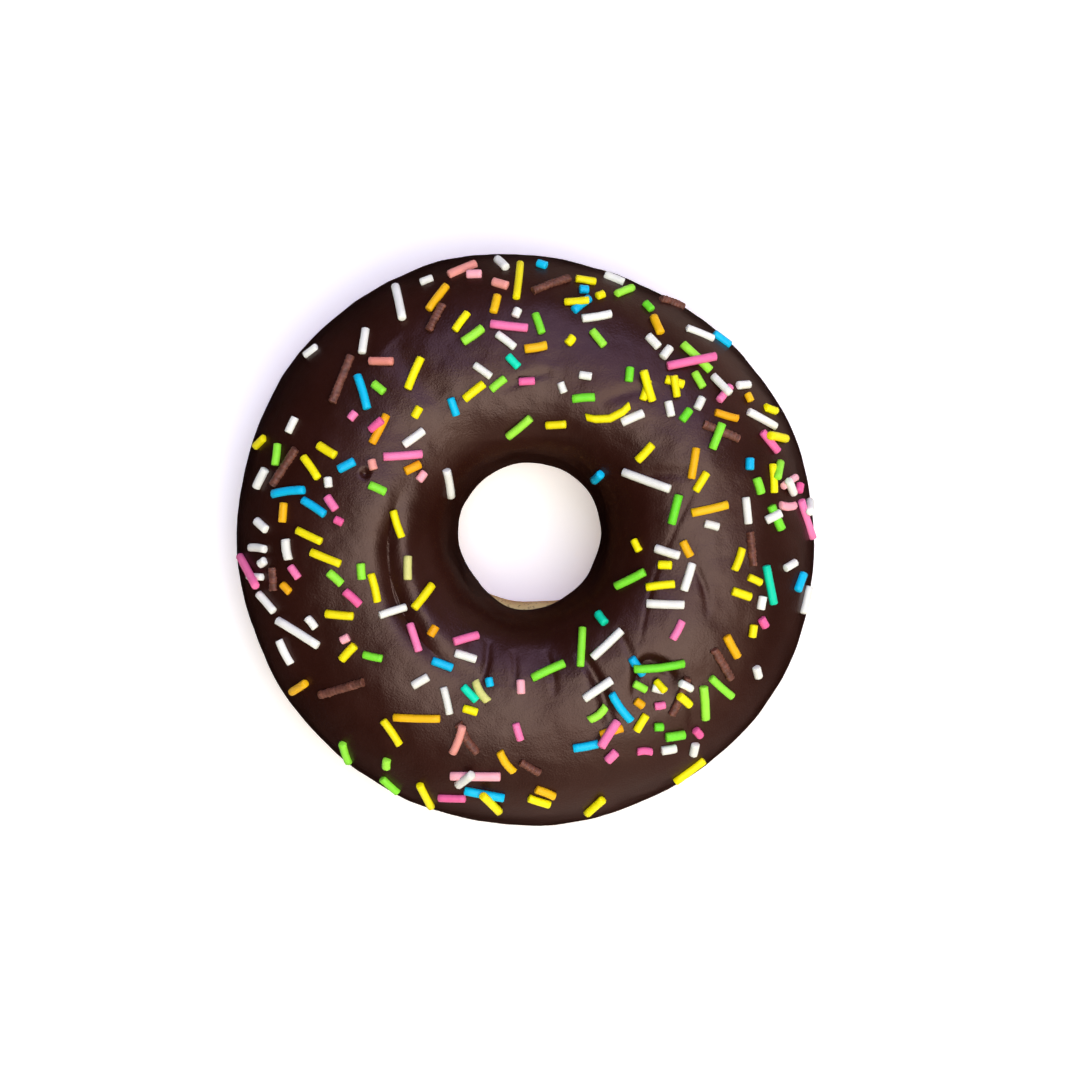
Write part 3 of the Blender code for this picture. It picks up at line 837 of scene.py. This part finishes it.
# The sums behind a rod's form, each with its name, its operation and its terms, which are named or numbers.
# First its section and round ends, where z runs from -1 to 1, and then its length, its bend and its relief.
ROD_SUMS: tuple[tuple[Any, ...], ...] = (
    ("from middle", "ABSOLUTE", "z"),
    ("past half", "MULTIPLY_ADD", "from middle", 2.0, -1.0),
    ("end", "MAXIMUM", "past half", 0.0),
    ("steep end", "POWER", "end", 3.0),
    ("narrowing", "MULTIPLY", "steep end", "End Narrowing"),
    ("around", "ARCTAN2", "y", "x"),
    ("rib angle", "MULTIPLY", "around", "Ribs"),
    ("rib", "SINE", "rib angle"),
    ("ribbed", "MULTIPLY_ADD", "rib", "Rib Height", 1.0),
    ("width", "SUBTRACT", "ribbed", "narrowing"),
    ("wide x", "MULTIPLY", "x", "width"),
    ("wide y", "MULTIPLY", "y", "width"),
    ("end angle", "MULTIPLY", "end", math.pi / 2),
    ("bulge", "SINE", "end angle"),
    ("end rise", "MULTIPLY", "bulge", "End Depth"),
    ("end side", "SIGN", "z"),
    ("end place", "MULTIPLY", "end rise", "end side"),
    ("size", "MULTIPLY", "Radius", "girth"),
    ("doubled", "MULTIPLY", "along", 2.0),
    ("no lower", "MAXIMUM", "doubled", -1.0),
    ("straight", "MINIMUM", "no lower", 1.0),
    ("reach", "MULTIPLY", "straight", "half"),
    ("square", "MULTIPLY", "straight", "straight"),
    ("bend", "SUBTRACT", 1.0, "square"),
    ("crumb", "SUBTRACT", "crumbs", 0.5),
    ("crumb rise", "MULTIPLY", "crumb", "Crumb Height"),
    ("rings", "DIVIDE", "reach", "Ring Spacing"),
    ("ring angle", "MULTIPLY", "rings", 2 * math.pi),
    ("ring", "SINE", "ring angle"),
    ("worn ring", "MULTIPLY", "ring", "crumbs"),
    ("relief", "MULTIPLY_ADD", "worn ring", "Ring Height", "crumb rise"),
)

# The values that each rod's point carries, with their kinds. The rod's mesh keeps them.
ROD_ATTRIBUTES = {
    "turned": "FLOAT_VECTOR",
    "direction": "FLOAT_VECTOR",
    "bow": "FLOAT_VECTOR",
    "half": "FLOAT",
    "girth": "FLOAT",
    "tint": "FLOAT",
}


def rods_tree() -> bpy.types.NodeTree:
    """Builds the tree that sets a round-ended rod on each point, to the point's own direction and length."""
    forms = ("End Depth", "End Narrowing", "Rib Height")
    reliefs = ("Crumb Size", "Crumb Height", "Ring Spacing", "Ring Height")
    whole = ("Sides", "Segments", "Ribs")
    tree, given = new_shape_tree("strewn rods", "Places", whole, ("Radius", *forms, *reliefs))
    position = add_node(tree, "GeometryNodeInputPosition", {}, {})
    axes = add_node(tree, "ShaderNodeSeparateXYZ", {}, {0: position}).outputs
    scale = add_node(tree, "ShaderNodeMath", {"operation": "DIVIDE"}, {0: 1.0, 1: given["Crumb Size"]})
    crumbs = add_node(tree, "ShaderNodeTexNoise", {}, {"Scale": scale, "Detail": 2.0})
    known: dict[Any, Any] = dict(given.items())
    known |= {"x": axes["X"], "y": axes["Y"], "z": axes["Z"], "crumbs": crumbs}
    for name, kind in (ROD_ATTRIBUTES | {"along": "FLOAT"}).items():
        read = add_node(tree, "GeometryNodeInputNamedAttribute", {"data_type": kind}, {"Name": name})
        known[name] = read
    for name, operation, *values in ROD_SUMS:
        terms = {place: known.get(value, value) for place, value in enumerate(values)}
        known[name] = add_node(tree, "ShaderNodeMath", {"operation": operation}, terms)
    form = {"Vertices": given["Sides"], "Side Segments": given["Segments"], "Radius": 1.0, "Depth": 2.0}
    pattern = add_node(tree, "GeometryNodeMeshCylinder", {"fill_type": "NGON"}, form)
    kept = {"data_type": "FLOAT", "domain": "POINT"}
    height = {"Geometry": pattern, "Name": "along", "Value": axes["Z"]}
    marked = add_node(tree, "GeometryNodeStoreNamedAttribute", kept, height)
    places = {0: known["wide x"], 1: known["wide y"], 2: known["end place"]}
    rounded = add_node(tree, "ShaderNodeCombineXYZ", {}, places)
    template = add_node(tree, "GeometryNodeSetPosition", {}, {"Geometry": marked, "Position": rounded})
    turned = add_node(tree, "FunctionNodeEulerToRotation", {}, {0: known["turned"]})
    setting = {"Instance": template, "Rotation": turned, "Scale": known["size"]}
    copies = add_node(tree, "GeometryNodeInstanceOnPoints", {}, {"Points": given["Places"]} | setting)
    shape = add_node(tree, "GeometryNodeRealizeInstances", {}, {"Geometry": copies})
    normal = add_node(tree, "GeometryNodeInputNormal", {}, {})
    reach, bow, push = (
        add_node(tree, "ShaderNodeVectorMath", {"operation": "SCALE"}, {0: way, 3: known[amount]})
        for way, amount in ((known["direction"], "reach"), (known["bow"], "bend"), (normal, "relief"))
    )
    stretch = add_node(tree, "ShaderNodeVectorMath", {"operation": "ADD"}, {0: reach, 1: bow})
    for offset in (stretch, push):
        shape = add_node(tree, "GeometryNodeSetPosition", {}, {"Geometry": shape, "Offset": offset})
    return end_shape_tree(tree, shape, given["Finish"])


def relief_values(lump: tuple[float, float], grain: tuple[float, float], finish: Any) -> dict[str, Any]:
    """Names the relief tree's inputs: the size and height of the lumps and of the grain, and the finish."""
    names = ("Lump Size", "Lump Height", "Grain Size", "Grain Height", "Finish")
    return dict(zip(names, (*lump, *grain, finish.material())))


def grown(source: bpy.types.Mesh, name: str, tree: bpy.types.NodeTree, values: dict[str, Any]) -> Any:
    """Runs a geometry tree on a mesh and keeps the result as a plain mesh.

    Args:
        source: The mesh that the tree starts from.
        name: The new piece's name.
        tree: The geometry tree.
        values: The tree's inputs, by name.

    Returns:
        The new piece, at the origin.
    """
    carrier = bpy.data.objects.new(f"{name}_source", source)
    bpy.context.scene.collection.objects.link(carrier)
    modifier = carrier.modifiers.new("shape", "NODES")
    modifier.node_group = tree
    for item in tree.interface.items_tree:
        if item.in_out == "INPUT" and item.name in values:
            modifier[item.identifier] = values[item.name]
    graph = bpy.context.evaluated_depsgraph_get()
    mesh = bpy.data.meshes.new_from_object(carrier.evaluated_get(graph), depsgraph=graph)
    bpy.data.objects.remove(carrier)
    mesh.name = name
    mesh.shade_smooth()
    piece = bpy.data.objects.new(name, mesh)
    bpy.context.scene.collection.objects.link(piece)
    return piece


def closed_ring(name: str, points: np.ndarray, give: np.ndarray) -> bpy.types.Mesh:
    """Makes a mesh closed round the hole and round the section.

    Args:
        name: The mesh's name.
        points: Positions by column, row and axis, with the rows going over the top towards the hole.
        give: How freely each point takes the fine relief, from 0 to 1, by column and row.

    Returns:
        The mesh, facing outwards.
    """
    columns, rows = points.shape[:2]
    index = np.arange(columns * rows).reshape(columns, rows)
    ahead = np.roll(index, -1, axis=0)
    faces = np.stack([index, ahead, np.roll(ahead, -1, axis=1), np.roll(index, -1, axis=1)], -1)
    mesh = bpy.data.meshes.new(name)
    mesh.from_pydata(points.reshape(-1, 3).tolist(), [], faces.reshape(-1, 4).tolist())
    values = mesh.attributes.new("give", "FLOAT", "POINT")
    values.data.foreach_set("value", give.astype(np.float32).ravel())
    return mesh


def eased(count: int, start: float, end: float) -> np.ndarray:
    """Gives this many steps from start to end, closest together near the start."""
    return start + (end - start) * (1 - np.cos(np.linspace(0, math.pi / 2, count)))


@dataclass
class Dough:
    """The fried ring under the icing."""

    ring: RingShape
    finish: FriedDough = FriedDough()
    columns: int = 340
    covered_rows: int = 40
    side_rows: int = 36
    base_rows: int = 8
    covered: tuple[float, float] = (math.radians(8), math.radians(150))
    lump: tuple[float, float] = (4.0 * MM, 0.30 * MM)
    grain: tuple[float, float] = (1.1 * MM, 0.12 * MM)
    settled: float = 1.6 * MM

    def build(self, tree: bpy.types.NodeTree) -> Any:
        """Builds the dough as one closed skin, smooth where it lies on its base, and dresses it."""
        base = self.ring.base_angle
        ends = (-base, *self.covered, math.pi + base, 2 * math.pi - base)
        counts = (self.side_rows, self.covered_rows, self.side_rows, self.base_rows)
        bands = zip(ends, ends[1:], counts)
        rows = np.concatenate([np.linspace(low, high, count, endpoint=False) for low, high, count in bands])
        turn = np.linspace(0, 2 * math.pi, self.columns, endpoint=False)
        turn, over = np.meshgrid(turn, rows, indexing="ij")
        points = self.ring.skin(turn, over)
        give = np.clip(points[..., 2] / self.settled, 0, 1)
        values = relief_values(self.lump, self.grain, self.finish)
        piece = grown(closed_ring("dough_ring", points, give), "dough_ring", tree, values)
        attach(piece, BODY)
        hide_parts("dough")
        return piece


@dataclass
class Icing:
    """The chocolate icing: its upper side with all its relief, its two lips and its hidden under side."""

    shape: IcingShape
    finish: DarkChocolate = DarkChocolate()
    columns: int = 410
    upper_rows: int = 170
    lip_rows: int = 10
    under_rows: int = 20
    lip_reach: float = 1.3
    under_margin: float = 0.015
    lump: tuple[float, float] = (8.0 * MM, 0.7 * MM)
    grain: tuple[float, float] = (1.8 * MM, 0.03 * MM)

    def grid(self, shares: np.ndarray) -> tuple[np.ndarray, np.ndarray, np.ndarray]:
        """Gives turn, section angle and share of the way between the edges, by column and row."""
        turn = np.linspace(0, 2 * math.pi, self.columns, endpoint=False)
        turn, share = np.meshgrid(turn, shares, indexing="ij")
        outer, inner = self.shape.edges(turn)
        return turn, outer + share * (inner - outer), share

    def build(self, tree: bpy.types.NodeTree) -> Any:
        """Builds the icing as one closed shell and dresses it."""
        shape, ring = self.shape, self.shape.ring
        lip = eased(self.lip_rows, 0, self.lip_reach * shape.lip_place)
        body = np.linspace(lip[-1], 1 - lip[-1], self.upper_rows + 2)[1:-1]
        turn, over, share = self.grid(np.concatenate([lip, body, 1 - lip[::-1]]))
        cover = shape.gap + shape.lip(share) - shape.blister(turn, over)
        normal = ring.outward(turn, over)
        upper = ring.skin(turn, over) + normal * cover[..., None]
        upper = upper - normal * shape.wrinkles(upper)[..., None]
        give = np.clip(np.minimum(share, 1 - share) / shape.lip_place, 0, 1)
        turn, over, _ = self.grid(np.linspace(1 - self.under_margin, self.under_margin, self.under_rows))
        under = ring.skin(turn, over) + ring.outward(turn, over) * shape.gap
        points = np.concatenate([upper, under], 1)
        give = np.concatenate([give, np.zeros(turn.shape)], 1)
        values = relief_values(self.lump, self.grain, self.finish)
        piece = grown(closed_ring("chocolate_icing", points, give), "chocolate_icing", tree, values)
        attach(piece, BODY)
        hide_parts("icing")
        return piece


class RodMake(NamedTuple):
    """How a kind of rod is meshed, and its relief: the crumbs' and the rings' size and height."""

    sides: int
    segments: int
    rib_height: float
    crumb: tuple[float, float]
    ring: tuple[float, float]


@dataclass
class Toppings:
    """The sprinkles, one piece for each colour, and the chocolate sticks."""

    strewing: Strewing
    sprinkle: RodMake = RodMake(8, 6, 0.015, (1.2 * MM, 0.06 * MM), (1 * MM, 0.0))
    stick: RodMake = RodMake(16, 80, 0.06, (0.9 * MM, 0.30 * MM), (0.62 * MM, 0.09 * MM))
    colour_seed: int = 7887
    ribs: int = 3
    end_depth: float = 0.30
    end_narrowing: float = 0.30
    bend: float = 0.014
    strong_bend: float = 0.055
    strong_bend_share: float = 0.10
    girth_spread: float = 0.045
    tint_spread: float = 0.8

    def places(self, name: str, rods: Sequence[Rod], chance: random.Random) -> bpy.types.Mesh:
        """Makes the points that the rods stand on.

        Args:
            name: The mesh's name.
            rods: The rods of one kind.
            chance: Draws each rod's bend, girth and tint.

        Returns:
            A mesh of loose points with each rod's direction, length, bend, girth and tint.
        """
        mesh = bpy.data.meshes.new(name)
        mesh.from_pydata([rod.middle.tolist() for rod in rods], [], [])
        turned, bow, girth, tint = [], [], [], []
        for rod in rods:
            aside = np.cross(rod.up, rod.along)
            axes = Matrix([Vector(aside), Vector(rod.up), Vector(rod.along)]).transposed()
            spin = Matrix.Rotation(chance.uniform(0, 2 * math.pi), 3, "Z")
            turned.extend((axes @ spin).to_euler())
            strong = chance.random() < self.strong_bend_share
            amount = self.strong_bend if strong else self.bend
            bow.extend(aside * (rod.length * chance.gauss(0, amount)))
            girth.append(1 + chance.gauss(0, self.girth_spread))
            tint.append(chance.random() * self.tint_spread)
        half = [rod.length / 2 - self.end_depth * rod.radius for rod in rods]
        direction = [rod.along for rod in rods]
        listed = (turned, direction, bow, half, girth, tint)
        for (label, kind), values in zip(ROD_ATTRIBUTES.items(), listed):
            attribute = mesh.attributes.new(label, kind, "POINT")
            key = "vector" if kind == "FLOAT_VECTOR" else "value"
            attribute.data.foreach_set(key, np.array(values, np.float32).ravel())
        return mesh

    def piece(self, finish: Any, make: RodMake, radius: float, places: bpy.types.Mesh, tree: Any) -> Any:
        """Grows one kind's rods and hands them to the frame.

        Args:
            finish: Its finish, which names it.
            make: How its rods are meshed.
            radius: The rods' radius.
            places: The points that they stand on.
            tree: The tree that grows them.

        Returns:
            The piece.
        """
        values = {
            "Radius": radius,
            "Sides": make.sides,
            "Segments": make.segments,
            "End Depth": self.end_depth,
            "End Narrowing": self.end_narrowing,
            "Ribs": self.ribs,
            "Rib Height": make.rib_height,
            "Crumb Size": make.crumb[0],
            "Crumb Height": make.crumb[1],
            "Ring Spacing": make.ring[0],
            "Ring Height": make.ring[1],
            "Finish": finish.material(),
        }
        made = grown(places, finish.name, tree, values)
        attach(made, BODY)
        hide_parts("icing")
        return made

    def build(self, tree: bpy.types.NodeTree) -> list[Any]:
        """Strews the toppings and builds them, one piece for each colour and one for the sticks."""
        rods = self.strewing.strew()
        chance = random.Random(self.colour_seed)
        thick, thin = self.strewing.sprinkle.radius, self.strewing.stick.radius
        sprinkles = [rod for rod in rods if rod.radius == thick]
        colours = chance.choices(list(Sugar), [sugar.value.share for sugar in Sugar], k=len(sprinkles))
        made = []
        for sugar in Sugar:
            chosen = [rod for rod, colour in zip(sprinkles, colours) if colour is sugar]
            places = self.places(sugar.value.name, chosen, chance)
            made.append(self.piece(sugar.value, self.sprinkle, thick, places, tree))
        stick = ChocolateStick()
        places = self.places(stick.name, [rod for rod in rods if rod.radius == thin], chance)
        made.append(self.piece(stick, self.stick, thin, places, tree))
        return made


class Softbox(NamedTuple):
    """A round softbox: its turn and rise in degrees, its distance and diameter, its radiance and tint.

    A face with a radiance of 1 would look white.
    """

    name: str
    turn: float
    rise: float
    distance: float
    size: float
    radiance: float
    colour: str


class Wall(NamedTuple):
    """A paler part of the room: its turn and rise in degrees, its strength and how narrow it is."""

    turn: float
    rise: float
    strength: float
    sharpness: float


def toward(turn: float, rise: float, distance: float) -> tuple[float, float, float]:
    """Gives the place at a turn round the hole and a rise over the table, in degrees, and a distance."""
    turn, rise = math.radians(turn), math.radians(rise)
    flat = distance * math.cos(rise)
    return flat * math.cos(turn), flat * math.sin(turn), distance * math.sin(rise)


@dataclass
class Studio:
    """The pale floor, the soft lights and the camera that looks straight down."""

    ring: RingShape
    frame_width: float = 173.9 * MM
    lens_mm: float = 135.0
    sensor_mm: float = 36.0
    aim_right: float = 1.69 * MM
    aim_up: float = -1.13 * MM
    floor_size: float = 10.0
    floor_gap: float = 0.05 * MM
    softboxes: tuple[Softbox, ...] = (
        Softbox("overhead", 310, 77, 2.5, 2.1, 5.2, "FFFDF8"),
        Softbox("window", 72, 59, 2.5, 1.8, 3.6, "C2BEFF"),
        Softbox("side", 312, 46, 2.8, 2.4, 1.75, "FFF2DE"),
    )
    room: float = 0.02
    room_tint: str = "FFE9DC"
    walls: tuple[Wall, ...] = (
        Wall(42, -15, 1.1, 4.0),
        Wall(285, -12, 0.9, 5.0),
        Wall(275, 16, 0.6, 9.0),
    )
    dark_below: tuple[float, float] = (-0.82, -0.42)

    def floor(self) -> None:
        """Lays a large white sheet under the doughnut, which glows a little as a light table does."""
        half = self.floor_size / 2
        sides = ((-half, -half), (half, -half), (half, half), (-half, half))
        mesh = bpy.data.meshes.new("floor")
        mesh.from_pydata([(x, y, -self.floor_gap) for x, y in sides], [], [(0, 1, 2, 3)])
        material, tree, shader, _ = new_material("white paper")
        look = {"Base Color": hex_colour("FCFCFC"), "Roughness": 0.9}
        wire(tree, shader, look | {"Emission Color": hex_colour("FFFFFF"), "Emission Strength": 0.25})
        mesh.materials.append(material)
        floor = bpy.data.objects.new("floor", mesh)
        floor.visible_glossy = False
        bpy.context.scene.collection.objects.link(floor)

    def light(self, box: Softbox) -> None:
        """Adds one softbox, which faces the doughnut."""
        lamp = bpy.data.lights.new(box.name, "AREA")
        lamp.shape = "DISK"
        lamp.size = box.size
        lamp.energy = box.radiance * (math.pi * box.size / 2) ** 2
        lamp.color = hex_colour(box.colour)[:3]
        holder = bpy.data.objects.new(box.name, lamp)
        holder.location = toward(box.turn, box.rise, box.distance)
        holder.rotation_euler = holder.location.to_track_quat("Z", "Y").to_euler()
        bpy.context.scene.collection.objects.link(holder)

    def surroundings(self) -> None:
        """Makes a dim room, dark below the table, with the paler walls that edge the icing."""
        world = bpy.data.worlds.new("studio")
        world.use_nodes = True
        tree = world.node_tree
        facing = add_node(tree, "ShaderNodeTexCoord", {}, {}).outputs["Generated"]
        glow: Any = self.room
        for wall in self.walls:
            ways = {0: facing, 1: toward(wall.turn, wall.rise, 1)}
            dot = add_node(tree, "ShaderNodeVectorMath", {"operation": "DOT_PRODUCT"}, ways)
            ahead = {0: dot.outputs["Value"], 1: 0.0}
            front = add_node(tree, "ShaderNodeMath", {"operation": "MAXIMUM"}, ahead)
            lobe = add_node(tree, "ShaderNodeMath", {"operation": "POWER"}, {0: front, 1: wall.sharpness})
            total = {0: lobe, 1: wall.strength, 2: glow}
            glow = add_node(tree, "ShaderNodeMath", {"operation": "MULTIPLY_ADD"}, total)
        axes = add_node(tree, "ShaderNodeSeparateXYZ", {}, {0: facing})
        dark, clear = self.dark_below
        above = {"Value": axes.outputs["Z"], "From Min": dark, "From Max": clear}
        fade = add_node(tree, "ShaderNodeMapRange", {"interpolation_type": "SMOOTHSTEP"}, above)
        faded = add_node(tree, "ShaderNodeMath", {"operation": "MULTIPLY"}, {0: glow, 1: fade})
        light = {"Color": hex_colour(self.room_tint), "Strength": faded}
        wire(tree, tree.nodes["Background"], light)
        bpy.context.scene.world = world

    def camera(self) -> None:
        """Sets the camera above the ring, at the photograph's distance from the middle of the frame."""
        lens = bpy.data.cameras.new("camera")
        lens.lens = self.lens_mm
        lens.sensor_width = self.sensor_mm
        camera = bpy.data.objects.new("camera", lens)
        distance = self.frame_width * self.lens_mm / self.sensor_mm
        x, y = self.aim_right - self.ring.middle[0], self.aim_up - self.ring.middle[1]
        camera.location = (x, y, self.ring.equator_height + distance)
        bpy.context.scene.collection.objects.link(camera)
        bpy.context.scene.camera = camera

    def build(self) -> None:
        """Builds the whole studio."""
        self.floor()
        self.camera()
        self.surroundings()
        for box in self.softboxes:
            self.light(box)
        bpy.context.scene.view_settings.view_transform = "Standard"


def main() -> None:
    """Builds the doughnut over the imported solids."""
    logging.basicConfig(level=logging.INFO, format="%(name)s: %(message)s")
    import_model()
    ring = RingShape()
    icing = IcingShape(ring)
    relief, rods = relief_tree(), rods_tree()
    pieces = [
        Dough(ring).build(relief),
        Icing(icing).build(relief),
        *Toppings(Strewing(icing)).build(rods),
    ]
    for piece in pieces:
        LOG.info("%s: %d faces", piece.name, len(piece.data.polygons))
    Studio(ring).build()


if __name__ == "__main__":
    main()
